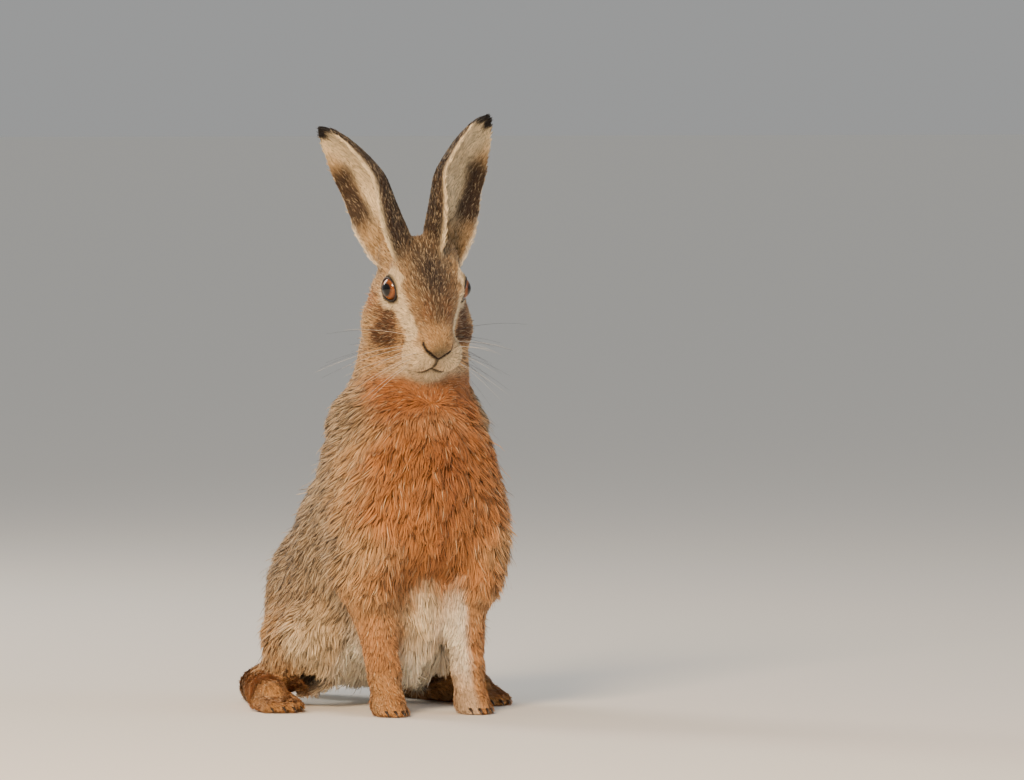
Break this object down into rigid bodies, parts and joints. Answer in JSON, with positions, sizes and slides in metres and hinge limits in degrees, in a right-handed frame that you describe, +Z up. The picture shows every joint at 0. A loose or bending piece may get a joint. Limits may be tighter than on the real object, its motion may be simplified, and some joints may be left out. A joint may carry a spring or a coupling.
{
  "type": "brown hare",
  "caption": "Brown hare sitting upright with ears raised and spread and the head turned a little to its right, as a still life-size model.",
  "frame": {"origin": "floor level, under the middle of the part's bounding box", "axes": "+Z up, -Y the way the hare's body faces, +X to the hare's left"},
  "size_m": [0.217, 0.3056, 0.4678],
  "materials": {
    "coat_head": "matte",
    "coat_chest": "matte",
    "coat_back": "matte",
    "coat_tail": "matte",
    "coat_paw": "matte",
    "coat_ear": "matte",
    "eye": "gloss"
  },
  "bodies": {
    "root": {"head": "coat_head", "neck": "coat_chest", "torso": "coat_back", "tail": "coat_tail", "foreleg_left": "coat_chest", "foreleg_right": "coat_chest", "forepaw_left": "coat_paw", "forepaw_right": "coat_paw", "haunch_left": "coat_back", "haunch_right": "coat_back", "hindfoot_left": "coat_paw", "hindfoot_right": "coat_paw", "ear_left": "coat_ear", "ear_right": "coat_ear", "eye_left": "eye", "eye_right": "eye"}
  },
  "joints": []
}
